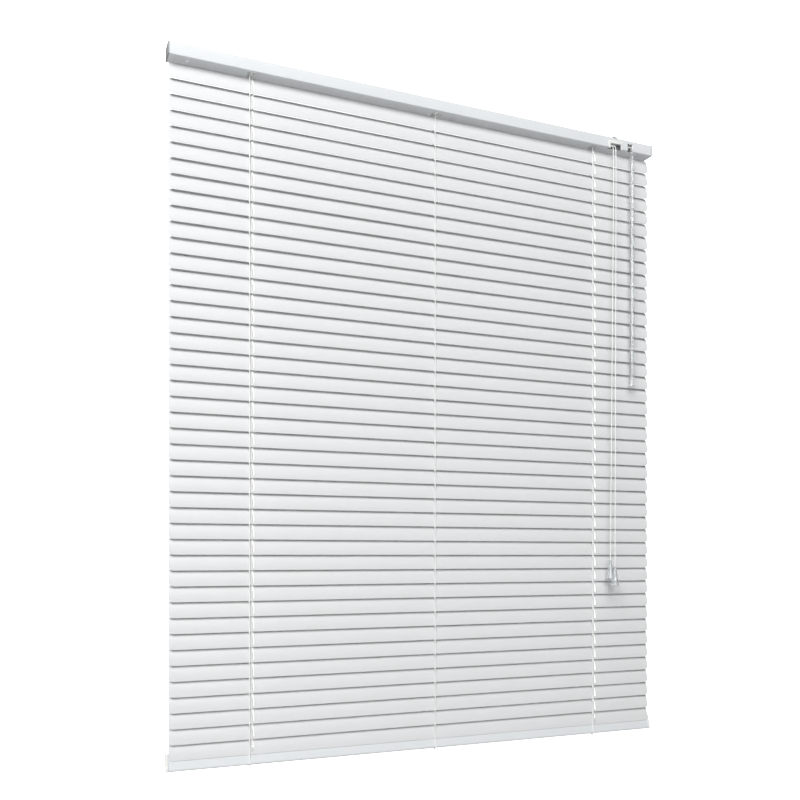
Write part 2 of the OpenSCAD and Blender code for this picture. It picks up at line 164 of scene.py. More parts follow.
class BlindColours(PropertyGroup):
    """Colours of the finishes."""

    paint: FloatVectorProperty(
        name="Enamel", description="Headrail and bottom rail", subtype="COLOR", default=(0.57, 0.59, 0.60))
    slat: FloatVectorProperty(
        name="Slat coating", description="Slats", subtype="COLOR", default=(0.565, 0.57, 0.575))
    plastic: FloatVectorProperty(
        name="White plastic", description="Gear housings", subtype="COLOR", default=(0.64, 0.64, 0.63))
    # The end caps are white plastic; their dark grey is painted shade, as if the caps stood in shade
    cap: FloatVectorProperty(
        name="Cap plastic with painted shade", description="End caps", subtype="COLOR", default=(0.25, 0.26, 0.27))
    cord: FloatVectorProperty(
        name="Cord", description="Cords and ladder strings", subtype="COLOR", default=(0.74, 0.74, 0.73))
    zinc: FloatVectorProperty(
        name="Zinc", description="Rod, worm and wheel", subtype="COLOR", default=(0.50, 0.51, 0.53))
    clear: FloatVectorProperty(
        name="Clear plastic", description="Wand and tassels", subtype="COLOR", default=(0.93, 0.955, 0.965))


# ---- Shader effects used by more than one finish ----


def effect(name, inputs, outputs, build):
    """A shader node group with number inputs and the named number outputs, made once."""
    group = bpy.data.node_groups.get(name)
    if group:
        return group
    group = bpy.data.node_groups.new(name, "ShaderNodeTree")
    for label, value in inputs.items():
        socket = group.interface.new_socket(label, in_out="INPUT", socket_type="NodeSocketFloat")
        socket.default_value = value
    for label in outputs:
        group.interface.new_socket(label, in_out="OUTPUT", socket_type="NodeSocketFloat")
    start = group.nodes.new("NodeGroupInput")
    end = group.nodes.new("NodeGroupOutput")
    build(group, start, end)
    return group


def math_node(tree, operation, first, second, clamp=False):
    """A Math node; first and second are sockets or numbers."""
    node = tree.nodes.new("ShaderNodeMath")
    node.operation = operation
    node.use_clamp = clamp
    for slot, value in enumerate((first, second)):
        if isinstance(value, (int, float)):
            node.inputs[slot].default_value = value
        else:
            tree.links.new(value, node.inputs[slot])
    return node.outputs[0]


def noise(tree, vector, scale, detail=4.0, rough=0.55):
    """Noise in the given coordinates; scale is a socket or a number."""
    node = tree.nodes.new("ShaderNodeTexNoise")
    node.inputs["Detail"].default_value = detail
    node.inputs["Roughness"].default_value = rough
    tree.links.new(vector, node.inputs["Vector"])
    if isinstance(scale, (int, float)):
        node.inputs["Scale"].default_value = scale
    else:
        tree.links.new(scale, node.inputs["Scale"])
    return node.outputs["Fac"]


def place(tree, stretch=(1, 1, 1)):
    """Coordinates in the piece's own space, stretched."""
    coordinates = tree.nodes.new("ShaderNodeTexCoord")
    mapping = tree.nodes.new("ShaderNodeMapping")
    mapping.inputs["Scale"].default_value = stretch
    tree.links.new(coordinates.outputs["Object"], mapping.inputs["Vector"])
    return mapping.outputs["Vector"]


def orange_peel():
    """The faint waviness of sprayed or rolled paint, and its slight change of tone."""

    def build(tree, start, end):
        where = place(tree)
        fine = noise(tree, where, start.outputs["Scale"])
        broad = noise(tree, where, 9.0, 2.0)
        tree.links.new(fine, end.inputs["Height"])
        tree.links.new(broad, end.inputs["Tone"])

    return effect("Orange peel", {"Scale": 900.0}, ("Height", "Tone"), build)


def handling():
    """Dust and rubbed patches: soft clouds with fine specks."""

    def build(tree, start, end):
        where = place(tree)
        clouds = noise(tree, where, start.outputs["Patch scale"], 5.0, 0.62)
        specks = noise(tree, where, start.outputs["Speck scale"], 2.0, 0.5)
        both = math_node(tree, "MULTIPLY", clouds, specks)
        centred = math_node(tree, "SUBTRACT", both, 0.16)
        tree.links.new(math_node(tree, "MULTIPLY", centred, 3.2, True), end.inputs["Mask"])

    return effect("Handling", {"Patch scale": 14.0, "Speck scale": 420.0}, ("Mask",), build)


def braid():
    """Strands that cross at an angle along a cord."""

    def build(tree, start, end):
        heights = []
        for turn in (1.0, -1.0):
            wave = tree.nodes.new("ShaderNodeTexWave")
            wave.bands_direction = "DIAGONAL"
            wave.inputs["Distortion"].default_value = 0.6
            tree.links.new(place(tree, (turn, turn, 1.0)), wave.inputs["Vector"])
            tree.links.new(start.outputs["Scale"], wave.inputs["Scale"])
            heights.append(wave.outputs["Fac"])
        over = math_node(tree, "MAXIMUM", *heights)
        fuzz = noise(tree, place(tree), 2600.0, 2.0)
        tree.links.new(math_node(tree, "ADD", over, math_node(tree, "MULTIPLY", fuzz, 0.3)),
                       end.inputs["Height"])
        # the mask of where a strand lies on top also sets where the cord gets painted shade
        tree.links.new(over, end.inputs["Mask"])

    return effect("Braid", {"Scale": 240.0}, ("Height", "Mask"), build)


def use(material, group, **values):
    """Places an effect in a material with its own values."""
    node = material.node_tree.nodes.new("ShaderNodeGroup")
    node.node_tree = group
    for label, value in values.items():
        node.inputs[label.replace("_", " ")].default_value = value
    return node


def between(material, mask, low, high):
    """A number from low to high as the mask goes from 0 to 1."""
    node = material.node_tree.nodes.new("ShaderNodeMapRange")
    node.inputs["To Min"].default_value = low
    node.inputs["To Max"].default_value = high
    material.node_tree.links.new(mask, node.inputs["Value"])
    return node.outputs["Result"]


def tint(material, mask, low, high):
    """A colour from low to high as the mask goes from 0 to 1."""
    node = material.node_tree.nodes.new("ShaderNodeMix")
    node.data_type = "RGBA"
    node.inputs["A"].default_value = (*low, 1.0)
    node.inputs["B"].default_value = (*high, 1.0)
    material.node_tree.links.new(mask, node.inputs["Factor"])
    return node.outputs["Result"]


def shade(colour, factor):
    """The colour made lighter or darker."""
    return tuple(min(1.0, channel * factor) for channel in colour)


def bump(material, height, strength, distance):
    """A bump from a height; distance is in millimetres."""
    tree = material.node_tree
    node = tree.nodes.new("ShaderNodeBump")
    node.inputs["Strength"].default_value = strength
    node.inputs["Distance"].default_value = distance * MM
    tree.links.new(height, node.inputs["Height"])
    tree.links.new(node.outputs["Normal"], material.node_tree.nodes["Principled BSDF"].inputs["Normal"])


def finish(name, colour, roughness, metallic=0.0):
    """A new material with its shader's plain values set."""
    material = bpy.data.materials.new(name)
    material.use_nodes = True
    material.diffuse_color = (*colour, 1.0)
    shader = material.node_tree.nodes["Principled BSDF"]
    shader.inputs["Base Color"].default_value = (*colour, 1.0)
    shader.inputs["Roughness"].default_value = roughness
    shader.inputs["Metallic"].default_value = metallic
    return material, shader


def drive(material, socket, source):
    """Feeds one of the shader's inputs."""
    material.node_tree.links.new(source, material.node_tree.nodes["Principled BSDF"].inputs[socket])


def enamel(name, colour, roughness, peel):
    """Satin paint on sheet metal: faint waviness, a slight change of tone, dust in patches."""
    material, shader = finish(name, colour, roughness)
    shader.inputs["Coat Weight"].default_value = 0.12
    shader.inputs["Coat Roughness"].default_value = 0.25
    skin = use(material, orange_peel(), Scale=peel)
    dust = use(material, handling())
    tone = tint(material, skin.outputs["Tone"], shade(colour, 0.975), shade(colour, 1.02))
    drive(material, "Base Color", tone)
    dusty = between(material, dust.outputs["Mask"], roughness - 0.05, roughness + 0.12)
    drive(material, "Roughness", dusty)
    bump(material, skin.outputs["Height"], 0.12, 0.02)
    return material


def moulded(name, colour, roughness):
    """Injection-moulded plastic with a fine spark-eroded grain."""
    material, shader = finish(name, colour, roughness)
    shader.inputs["Subsurface Weight"].default_value = 0.04
    shader.inputs["Subsurface Radius"].default_value = (0.0012, 0.0011, 0.001)
    grain = use(material, orange_peel(), Scale=2600.0)
    dust = use(material, handling(), Patch_scale=40.0)
    tone = tint(material, dust.outputs["Mask"], shade(colour, 1.02), shade(colour, 0.93))
    drive(material, "Base Color", tone)
    grained = between(material, grain.outputs["Height"], roughness - 0.06, roughness + 0.1)
    drive(material, "Roughness", grained)
    bump(material, grain.outputs["Height"], 0.25, 0.03)
    return material


def clear_plastic(colour):
    """Clear moulded plastic, with flow lines and light scuffs."""
    material, shader = finish("Clear plastic", colour, 0.1)
    shader.inputs["Transmission Weight"].default_value = 0.88
    shader.inputs["IOR"].default_value = 1.49
    flow = use(material, orange_peel(), Scale=260.0)
    scuffs = use(material, handling(), Patch_scale=60.0, Speck_scale=900.0)
    drive(material, "Roughness", between(material, scuffs.outputs["Mask"], 0.06, 0.24))
    bump(material, flow.outputs["Height"], 0.2, 0.05)
    return material


def braided(colour):
    """White braided polyester, with painted shade in the grooves between its strands."""
    material, shader = finish("Braided cord", colour, 0.72)
    shader.inputs["Sheen Weight"].default_value = 0.25
    shader.inputs["Sheen Roughness"].default_value = 0.5
    strands = use(material, braid())
    # painted shade: the colour is darkened between the strands
    drive(material, "Base Color", tint(material, strands.outputs["Mask"], shade(colour, 0.8), colour))
    bump(material, strands.outputs["Height"], 0.5, 0.08)
    return material


def plated(colour):
    """Zinc-plated steel, drawn along its length, with dull patches."""
    material, shader = finish("Zinc plate", colour, 0.34, 1.0)
    grain = use(material, orange_peel(), Scale=1400.0)
    dull = use(material, handling(), Patch_scale=90.0)
    drive(material, "Base Color", tint(material, dull.outputs["Mask"], colour, shade(colour, 0.78)))
    drive(material, "Roughness", between(material, dull.outputs["Mask"], 0.26, 0.5))
    bump(material, grain.outputs["Height"], 0.15, 0.02)
    return material


FINISHES = {}


def finishes():
    """All the finishes by slot name, made once from the scene's colours."""
    if not FINISHES:
        colours = bpy.context.scene.blind_colours
        FINISHES.update(
            paint=enamel("Rail enamel", tuple(colours.paint), 0.38, 700.0),
            slat_paint=enamel("Slat coating", tuple(colours.slat), 0.42, 1100.0),
            white_plastic=moulded("White plastic", tuple(colours.plastic), 0.45),
            # the end caps' finish: white plastic darkened into painted shade
            cap_plastic=moulded("Cap plastic with painted shade", tuple(colours.cap), 0.5),
            clear_plastic=clear_plastic(tuple(colours.clear)),
            cord=braided(tuple(colours.cord)),
            zinc=plated(tuple(colours.zinc)),
        )
    return FINISHES


# ---- Mesh helpers ----


def piece(name, mesh, slot, body, replaces=(), at=None):
    """Puts a mesh in the scene with its finish, on its body; at is a matrix in metres."""
    found = bpy.data.objects.new(name, mesh)
    bpy.context.scene.collection.objects.link(found)
    if at is not None:
        found.matrix_world = at
    if not mesh.materials:
        mesh.materials.append(finishes()[slot])
    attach(found, body)
    if replaces:
        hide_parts(*replaces)
    return found


def mesh_of(name, points, faces, sharp=40.0):
    """A mesh from millimetre points, shaded smooth except where faces meet at more than sharp degrees."""
    mesh = bpy.data.meshes.new(name)
    mesh.from_pydata([tuple(c * MM for c in p) for p in points], [], faces)
    return tidy(mesh, sharp)


def tidy(mesh, sharp=40.0):
    """Faces outward, doubles merged, smooth shading with sharp edges kept."""
    work = bmesh.new()
    work.from_mesh(mesh)
    bmesh.ops.remove_doubles(work, verts=work.verts, dist=1e-7)
    bmesh.ops.recalc_face_normals(work, faces=work.faces)
    work.to_mesh(mesh)
    work.free()
    mesh.polygons.foreach_set("use_smooth", [True] * len(mesh.polygons))
    mesh.set_sharp_from_angle(angle=math.radians(sharp))
    mesh.update()
    return mesh


def joined(name, meshes, sharp=40.0):
    """Several meshes as one."""
    work = bmesh.new()
    for mesh in meshes:
        work.from_mesh(mesh)
    out = bpy.data.meshes.new(name)
    work.to_mesh(out)
    work.free()
    return tidy(out, sharp)


def applied(name, mesh, *modifiers):
    """The mesh with modifiers applied; each is (type, settings)."""
    holder = bpy.data.objects.new(name, mesh)
    bpy.context.scene.collection.objects.link(holder)
    for kind, settings in modifiers:
        modifier = holder.modifiers.new(kind.title(), kind)
        for key, value in settings.items():
            setattr(modifier, key, value)
    bpy.context.view_layer.update()
    graph = bpy.context.evaluated_depsgraph_get()
    out = bpy.data.meshes.new_from_object(holder.evaluated_get(graph))
    out.name = name
    bpy.data.objects.remove(holder)
    return out


def cut(name, mesh, cutters, sharp=40.0):
    """The mesh with the cutters taken away."""
    tool = bpy.data.objects.new("cutter", joined("cutter", cutters))
    bpy.context.scene.collection.objects.link(tool)
    out = applied(name, mesh, ("BOOLEAN", {"operation": "DIFFERENCE", "solver": "EXACT", "object": tool}))
    bpy.data.objects.remove(tool)
    return tidy(out, sharp)


def ring_faces(rings, count):
    """Quads between rings of count points each, and a cap on both ends."""
    faces = []
    for r in range(rings - 1):
        a, b = r * count, (r + 1) * count
        faces += [(a + k, b + k, b + (k + 1) % count, a + (k + 1) % count) for k in range(count)]
    return faces + [tuple(range(count))[::-1], tuple((rings - 1) * count + k for k in range(count))]


def smooth_path(route, step):
    """A curve through every point of a route, with points about step apart."""
    points = [Vector(p) for p in route]
    points = [2 * points[0] - points[1], *points, 2 * points[-1] - points[-2]]
    path = []
    for before, a, b, after in zip(points, points[1:], points[2:], points[3:]):
        gap = (b - a).length
        lead_in = (b - before).normalized() * gap
        lead_out = (after - a).normalized() * gap
        count = max(1, round(gap / step))
        for i in range(count):
            t = i / count
            path.append(
                (2 * t**3 - 3 * t**2 + 1) * a + (t**3 - 2 * t**2 + t) * lead_in
                + (3 * t**2 - 2 * t**3) * b + (t**3 - t**2) * lead_out
            )
    return path + [points[-2]]


def tube(name, path, radius, sides=10):
    """A round tube along a path; radius is a number or a function of the point's index."""
    points = []
    side = None
    for i, p in enumerate(path):
        ahead = (path[min(i + 1, len(path) - 1)] - path[max(i - 1, 0)]).normalized()
        if side is None:
            side = ahead.orthogonal().normalized()
        side = (side - side.dot(ahead) * ahead).normalized()
        other = ahead.cross(side)
        r = radius(i) if callable(radius) else radius
        for k in range(sides):
            angle = 2 * math.pi * k / sides
            points.append(p + r * (math.cos(angle) * side + math.sin(angle) * other))
    return mesh_of(name, points, ring_faces(len(path), sides), 50.0)


def lathe(name, profile, segments=48, sharp=35.0):
    """A profile of (radius, height) points turned about Z."""
    points = [
        (r * math.cos(2 * math.pi * k / segments), r * math.sin(2 * math.pi * k / segments), z)
        for r, z in profile
        for k in range(segments)
    ]
    return mesh_of(name, points, ring_faces(len(profile), segments), sharp)


def arc(centre, radius, start, end, steps):
    """Points of an arc in a plane; angles in degrees."""
    turns = [math.radians(start + (end - start) * i / steps) for i in range(steps + 1)]
    return [(centre[0] + radius * math.cos(a), centre[1] + radius * math.sin(a)) for a in turns]


def round_rect(width, depth, radius, steps=6):
    """Outline of a rectangle with round corners, centred."""
    w, d = width / 2 - radius, depth / 2 - radius
    corners = (((w, d), 0), ((-w, d), 90), ((-w, -d), 180), ((w, -d), 270))
    return [p for centre, a in corners for p in arc(centre, radius, a, a + 90, steps)]


def prism(name, outline, low, high, axis="Z", sharp=35.0):
    """An outline in X and Y pushed along Z, or one in Y and Z pushed along X."""
    points = [(w, u, v) if axis == "X" else (u, v, w) for w in (low, high) for u, v in outline]
    return mesh_of(name, points, ring_faces(2, len(outline)), sharp)


def eased(name, mesh, width, segments=2):
    """The mesh with its hard edges rounded; width is in millimetres."""
    work = bmesh.new()
    work.from_mesh(mesh)
    bmesh.ops.remove_doubles(work, verts=work.verts, dist=1e-6)
    bmesh.ops.dissolve_limit(work, angle_limit=math.radians(1.0), verts=work.verts, edges=work.edges)
    flat = bpy.data.meshes.new(name)
    work.to_mesh(flat)
    work.free()
    settings = {
        "width": width * MM, "segments": segments, "limit_method": "ANGLE",
        "angle_limit": math.radians(35.0), "use_clamp_overlap": True, "harden_normals": False,
    }
    return tidy(applied(name, flat, ("BEVEL", settings)), 30.0)


def eased_node(node, width, slot, body):
    """A CAD node's shape again with its edges rounded, in place of the node."""
    mesh = eased(f"{node}_eased", frame["nodes"][node].data, width)
    mesh.materials.clear()
    return piece(f"{node}_moulding", mesh, slot, body, replaces=(node,))


def tilted(z):
    """Matrix of a strip's own axes when the blind is closed, at the height of its axis."""
    return Matrix.Translation((0, 0, z * MM)) @ Matrix.Rotation(CLOSED, 4, "X")


# ---- Operators ----


class BLIND_OT_stage(Operator):
    """Camera, backdrop and soft studio light"""

    bl_idname = "blind.stage"
    bl_label = "Stage"

    def execute(self, context):
        self.camera(context.scene)
        self.backdrop()
        self.lights(context.scene)
        return {"FINISHED"}

    def camera(self, scene):
        """Stands low and to the left, level, and looks up the blind by a small lens shift."""
        data = bpy.data.cameras.new("Camera")
        camera = bpy.data.objects.new("Camera", data)
        scene.collection.objects.link(camera)
        camera.location = (-0.5814, -1.2551, -0.6789)
        camera.rotation_euler = (math.radians(90), 0, math.radians(-22.98))
        data.lens = 40.44
        data.sensor_width = 36
        data.shift_x = -0.0059
        data.shift_y = 0.1941
        data.clip_start = 0.01
        data.clip_end = 60
        scene.camera = camera

    def backdrop(self):
        """A floor that sweeps up behind the blind in one curve."""
        floor_z = CAD_BOX[0].z - 0.42
        front_y, back_y, top_z = -7.0, 2.2, 7.0
        sweep, wide = 0.9, 9.0
        outline = [(front_y, floor_z), (back_y - sweep, floor_z)]
        outline += arc((back_y - sweep, floor_z + sweep), sweep, -90, 0, 16)[1:]
        outline += [(back_y, top_z)]
        count = len(outline)
        faces = [(k, k + 1, count + k + 1, count + k) for k in range(count - 1)]
        mesh = bpy.data.meshes.new("backdrop")
        mesh.from_pydata([(x, y, z) for x in (-wide, wide) for y, z in outline], [], faces)
        mesh.polygons.foreach_set("use_smooth", [True] * len(mesh.polygons))
        material, shader = finish("Studio paper", (0.7, 0.7, 0.7), 0.9)
        shader.inputs["Specular IOR Level"].default_value = 0.0
        rays = material.node_tree.nodes.new("ShaderNodeLightPath")
        shader.inputs["Emission Color"].default_value = (1, 1, 1, 1)
        glow = math_node(material.node_tree, "MULTIPLY", rays.outputs["Is Camera Ray"], 0.9)
        drive(material, "Emission Strength", glow)
        mesh.materials.append(material)
        backdrop = bpy.data.objects.new("backdrop", mesh)
        bpy.context.scene.collection.objects.link(backdrop)

    def lights(self, scene):
        """One broad key from the upper left, a weak light from behind and a dim sky."""
        centre = (CAD_BOX[0] + CAD_BOX[1]) / 2
        for name, place_at, size, power in (
            ("key", (-2.0, -3.5, 2.3), 3.6, 400.0),
            ("back", (0.9, 1.6, 1.5), 1.4, 12.0),
        ):
            data = bpy.data.lights.new(name, "AREA")
            data.size = size
            data.energy = power
            light = bpy.data.objects.new(name, data)
            scene.collection.objects.link(light)
            light.location = place_at
            light.rotation_euler = (centre - light.location).to_track_quat("-Z", "Y").to_euler()
        world = bpy.data.worlds.new("Studio")
        world.use_nodes = True
        world.node_tree.nodes["Background"].inputs["Color"].default_value = (0.94, 0.97, 1.0, 1)
        world.node_tree.nodes["Background"].inputs["Strength"].default_value = 0.01
        scene.world = world
        scene.view_settings.view_transform = "Standard"


class BLIND_OT_pull_cords(Operator):
    """The two lift cords where they hang free, with the bell tassel and the knot on each"""

    bl_idname = "blind.pull_cords"
    bl_label = "Pull cords and tassels"

    def execute(self, context):
        sizes = context.scene.blind_sizes
        low, high = box_mm("cord_tassels")
        # the right tassel hangs lower, and the left one nearer the wall
        height = RIGHT_ROUTE[-1][2] - low.z
        radius = high.y - LEFT_ROUTE[-1][1]
        for side, route, leaves in (("left", LEFT_ROUTE, LEFT_EXIT), ("right", RIGHT_ROUTE, RIGHT_EXIT)):
            end = Vector(route[-1])
            tassel = self.tassel(side, end, radius, height)
            knot = self.knot(side, end - Vector((0, 0, 0.3 * height)), sizes.cord)
            self.cord(side, route[leaves:], sizes, [tassel, knot])
        return {"FINISHED"}

    def cord(self, side, route, sizes, on_it):
        """A curve from the cord lock down to the tassel."""
        path = smooth_path(route, 6.0)
        name = f"pull_cord_{side}"
        data = bpy.data.curves.new(name, "CURVE")
        data.dimensions = "3D"
        data.bevel_depth = sizes.cord / 2 * MM
        data.bevel_resolution = 3
        data.use_fill_caps = True
        spline = data.splines.new("POLY")
        spline.points.add(len(path) - 1)
        for point, p in zip(spline.points, path):
            point.co = (*(p * MM), 1)
        cord = bpy.data.objects.new(name, data)
        bpy.context.scene.collection.objects.link(cord)
        data.materials.append(finishes()["cord"])
        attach(cord, "root")
        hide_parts("lift_cords")

    def tassel(self, side, top, radius, height):
        """A clear bell with a beaded rim and a waisted neck."""
        wall = 1.2
        outer = [(0.24, 1.0), (0.3, 0.985), (0.33, 0.95), (0.33, 0.9), (0.37, 0.84), (0.44, 0.74),
                 (0.53, 0.62), (0.63, 0.48), (0.74, 0.34), (0.84, 0.2), (0.91, 0.1), (0.93, 0.065),
                 (0.99, 0.05), (1.0, 0.025), (0.98, 0.0)]
        profile = [(r * radius, (z - 1) * height) for r, z in outer]
        inner = [(r * radius - wall, (z - 1) * height) for r, z in reversed(outer[5:-3])]
        profile += [(0.98 * radius - wall, -height), *inner, (0.18 * radius, -0.3 * height)]
        profile += [(0.18 * radius, 0.0)]
        mesh = lathe(f"tassel_{side}", profile[::-1] + [profile[-1]], 48, 50.0)
        return piece(f"tassel_{side}", mesh, "clear_plastic", "root", ("cord_tassels",),
                     Matrix.Translation(top * MM))

    def knot(self, side, centre, cord):
        """The stopper knot inside the bell: three turns wound close together, and a short tail."""
        path = [
            centre + Vector((
                (cord * 0.62 + 0.25 * math.sin(3 * a)) * math.cos(a),
                (cord * 0.62 + 0.25 * math.cos(2 * a)) * math.sin(a),
                1.6 - 0.5 * a / math.pi,
            ))
            for a in (i * math.pi / 9 for i in range(56))
        ]
        path += [path[-1] + Vector((0.2, 0.1, -1.5)), path[-1] + Vector((0.5, 0.3, -4.0))]
        return piece(f"tassel_knot_{side}", tube(f"knot_{side}", path, cord * 0.46), "cord", "root")


class BLIND_OT_held_cords(Operator):
    """The lift cords where they are held: up through the slats and along inside the headrail"""

    bl_idname = "blind.held_cords"
    bl_label = "Held lift cords"

    def execute(self, context):
        sizes = context.scene.blind_sizes
        low = box_mm("lift_cords")[0].z
        for side, route, leaves in (("left", LEFT_ROUTE, LEFT_EXIT), ("right", RIGHT_ROUTE, RIGHT_EXIT)):
            inside = smooth_path(route[: leaves + 1], 1.2)
            start = Vector((route[0][0], route[0][1], low))
            rise = [start.lerp(inside[0], i / 40) for i in range(40)]
            mesh = tube(f"lift_cord_{side}", rise + inside, sizes.cord / 2, sizes.sides)
            piece(f"lift_cord_{side}", mesh, "cord", "root", ("lift_cords",))
        return {"FINISHED"}


class BLIND_OT_slats(Operator):
    """Every slat: a crowned strip with round corners and two slots cut through"""

    bl_idname = "blind.slats"
    bl_label = "Slats"

    def execute(self, context):
        sizes = context.scene.blind_sizes
        mesh = self.strip(sizes)
        for name in SLATS:
            z = joint_mm(f"{name}_tilt").z
            piece(f"{name}_strip", mesh, "slat_paint", name, (name,), tilted(z))
        return {"FINISHED"}

    def strip(self, sizes):
        """One slat in its own axes, crown up."""
        half, corner, gauge = sizes.slat_width / 2, sizes.slat_corner, sizes.slat_gauge
        across = 24
        ends = [corner * (1 - math.cos(math.radians(a))) for a in range(0, 91, 10)]
        reach = HEAD_W / 2
        stations = [-reach + e for e in ends]
        middle = 2 * (reach - corner)
        stations += [-reach + corner + middle * i / 40 for i in range(1, 40)]
        stations += [reach - e for e in reversed(ends)]

        def rise(y):
            return sizes.slat_crown * (1 - (y / half) ** 2)

        rings = []
        for x in stations:
            inset = corner - min(corner, reach - abs(x))
            limit = half - corner + math.sqrt(max(0.0, corner**2 - inset**2))
            ys = [limit * (2 * k / across - 1) for k in range(across + 1)]
            rings.append([(x, y, rise(y)) for y in ys] + [(x, y, rise(y) - gauge) for y in reversed(ys)])
        points = [p for ring in rings for p in ring]
        mesh = mesh_of("slat_strip", points, ring_faces(len(rings), 2 * (across + 1)))
        slots = [
            prism("slot", [(x + u, v) for u, v in round_rect(
                sizes.slot_width, sizes.slot_length, sizes.slot_width / 2 - 0.01, 8)], -2, 4)
            for x in (LEFT_ROUTE[0][0], RIGHT_ROUTE[0][0])
        ]
        return cut("slat_strip", mesh, slots, 30.0)


class BLIND_OT_ladders(Operator):
    """Ladder strings, the rungs under every slat, the leads to the drums and the tucked ends"""

    bl_idname = "blind.ladders"
    bl_label = "Ladders"

    def execute(self, context):
        sizes = context.scene.blind_sizes
        self.strings(sizes)
        self.rungs(sizes)
        self.leads(sizes)
        self.tucks(sizes)
        return {"FINISHED"}

    def strings(self, sizes):
        """The upright strings, a little thicker where a rung is woven in."""
        levels = [joint_mm(f"{name}_tilt").z for name in SLATS] + [FOOT_Z]
        for body, side in (("ladder_front", -1), ("ladder_back", 1)):
            y = side * LADDER_HALF * math.cos(CLOSED)
            lift = side * LADDER_DROP
            # above the first rung the string runs on to where the fixed lead begins
            heights, knots = [levels[0] + lift + LEAD_REACH], [False]
            for z in levels[:-1]:
                for step, knot in ((1.3, False), (0.6, True), (-0.6, True), (-1.3, False)):
                    heights.append(z + lift + step)
                    knots.append(knot)
            heights.append(levels[-1] + lift)
            knots.append(False)
            meshes = [
                tube("string", [Vector((x, y, z)) for z in heights],
                     lambda i: sizes.string / 2 * (1.22 if knots[i] else 1.0), sizes.sides)
                for x in LADDERS
            ]
            piece(f"{body}_strings", joined(f"{body}_strings", meshes, 50.0), "cord", body,
                  (f"{body}_cords",))

    def rungs(self, sizes):
        """Two cross strings under each slat at each ladder, spread round the lift cord's line."""
        sag = sizes.slat_gauge + sizes.rung / 2 + 0.1
        meshes = []
        for x in LADDERS:
            for spread in (-1.5, 1.5):
                half = sizes.slat_width / 2
                route = [(x, -LADDER_HALF, 0), (x + 0.6 * spread, -half - 0.8, -0.8 * sag),
                         (x + spread, -half + 2.5, -sag), (x + spread, 0, -sag),
                         (x + spread, half - 2.5, -sag), (x + 0.6 * spread, half + 0.8, -0.8 * sag),
                         (x, LADDER_HALF, 0)]
                meshes.append(tube("rung", smooth_path(route, 2.0), sizes.rung / 2, 8))
        mesh = joined("rungs", meshes, 50.0)
        for name in SLATS:
            z = joint_mm(f"{name}_tilt").z
            piece(f"rungs_{name[-2:]}", mesh, "cord", name, (), tilted(z))

    def leads(self, sizes):
        """Over each drum, one string hangs down on both sides to meet the moving strings."""
        y = LADDER_HALF * math.cos(CLOSED)
        foot = FIRST_Z - LADDER_DROP + LEAD_REACH - 0.4
        drums_low, drums_high = box_mm("tilt_drums")
        winding = (drums_high.z - drums_low.z) / 2 - STRING_R
        down = [(y, foot + (2 - foot) * i / 6) for i in range(7)]
        over = arc((0, ROD_Z), winding, 0, 180, 24)
        path = [Vector((0, u, v)) for u, v in down + over + [(-u, v) for u, v in reversed(down)]]
        meshes = [
            tube("lead", [p + Vector((x, 0, 0)) for p in path], 0.43 * sizes.string, sizes.sides)
            for x in LADDERS
        ]
        piece("ladder_leads", joined("ladder_leads", meshes, 50.0), "cord", "root")

    def tucks(self, sizes):
        """Under the bottom rail the strings turn in to a plug at each ladder."""
        under = -sizes.foot_depth / 2 - sizes.string / 2 - 0.15
        edge = sizes.foot_width / 2
        meshes = [self.face_run(x, sizes, edge, -under) for x in LADDERS]
        for x in LADDERS:
            for side in (-1, 1):
                route = [(x, side * LADDER_HALF, 0), (x, side * (edge + 1.5), -2.4),
                         (x, side * (edge - 0.6), under + 0.3), (x, side * (edge - 4), under),
                         (x, side * 4, under), (x, side * 2, under + 0.3)]
                meshes.append(tube("tuck", smooth_path(route, 1.0), sizes.string / 2, sizes.sides))
        piece("ladder_tucks", joined("ladder_tucks", meshes, 50.0), "cord", "rail", (), tilted(FOOT_Z))
        plugs = []
        for x in LADDERS:
            outline = [(x + 2 + u, v) for u, v in round_rect(13.0, 8.0, 3.9, 8)]
            plugs.append(prism("plug", outline, under - 1.5, -sizes.foot_depth / 2))
        mesh = eased("ladder_plugs", joined("ladder_plugs", plugs), 0.5, 3)
        piece("ladder_plugs", mesh, "white_plastic", "rail", (), tilted(FOOT_Z))

    def face_run(self, x, sizes, edge, off):
        """From where the room-side string meets the rail's face, down the face and round its lower edge."""
        meets = off * math.tan(CLOSED) - LADDER_HALF
        fold, half = 3.0, sizes.foot_depth / 2
        turn, lift = edge - fold, half - fold
        route = [(meets - (meets + turn) * i / 8, off) for i in range(8)]
        route += arc((-turn, lift), fold + off - half, 90, 180, 8)
        route += arc((-turn, -lift), fold + off - half, 180, 270, 8) + [(-5, -off)]
        return tube("face_run", [Vector((x, u, v)) for u, v in route], sizes.string / 2, sizes.sides)


